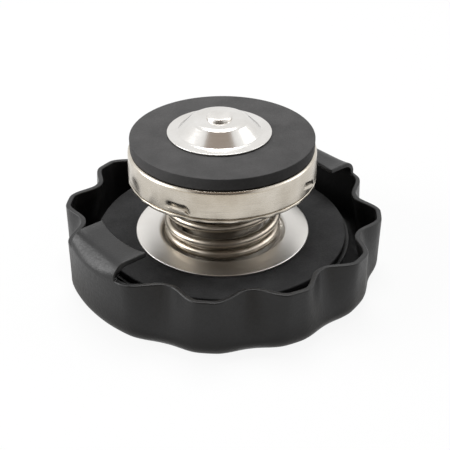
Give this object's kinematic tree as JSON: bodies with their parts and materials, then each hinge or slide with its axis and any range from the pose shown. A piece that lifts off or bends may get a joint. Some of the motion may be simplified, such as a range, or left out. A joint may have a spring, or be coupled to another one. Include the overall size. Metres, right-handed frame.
{
  "type": "radiator cap",
  "caption": "Pressed black radiator cap with wavy grip skirt, cam ears, neck gasket and a sprung pressure and vacuum valve stack.",
  "frame": {"origin": "centre of the crown's outer face, which the cap stands on as in the picture", "axes": "+Z along the cap's axis from the crown to the vacuum valve, +X to the right in the picture, +Y away from the viewer"},
  "size_m": [0.075, 0.075, 0.0391],
  "materials": {
    "black_coat": "satin black coat on pressed steel",
    "rivet_steel": "plain turned steel",
    "spring_steel": "dull spring steel",
    "gasket_rubber": "matt black rubber",
    "dish_steel": "satin plated steel",
    "inner_steel": "plain pressed steel",
    "spring_wire": "drawn spring wire",
    "cup_steel": "satin drawn steel with a warm tone",
    "seal_rubber": "matt dark grey rubber",
    "bright_steel": "bright stainless pressing"
  },
  "bodies": {
    "cap": {"cap_shell": "black_coat", "centre_rivet": "rivet_steel"},
    "valve_unit": {"sprung_disc": "spring_steel", "neck_gasket": "gasket_rubber", "spring_dish": "dish_steel", "valve_retainer": "inner_steel", "main_spring": "spring_wire"},
    "pressure_valve": {"spring_plate": "inner_steel", "valve_cup": "cup_steel", "pressure_seal": "seal_rubber", "vacuum_spring": "spring_wire"},
    "vacuum_unit": {"vacuum_valve": "bright_steel", "vacuum_stem": "rivet_steel", "stem_washer": "inner_steel"}
  },
  "joints": [
    {"name": "valve_swivel", "type": "hinge", "parent": "cap", "child": "valve_unit", "pos_m": [0, 0, 0.008], "axis": [0, 0, 1], "continuous": true},
    {"name": "pressure_slide", "type": "slide", "parent": "valve_unit", "child": "pressure_valve", "axis": [0, 0, 1], "range_m": [-0.004, 0], "stiffness_N_per_m": 15000, "springref_m": 0.002, "deforming": ["main_spring"]},
    {"name": "vacuum_slide", "type": "slide", "parent": "pressure_valve", "child": "vacuum_unit", "axis": [0, 0, 1], "range_m": [0, 0.0015], "stiffness_N_per_m": 600, "springref_m": -0.004, "deforming": ["vacuum_spring"]}
  ]
}
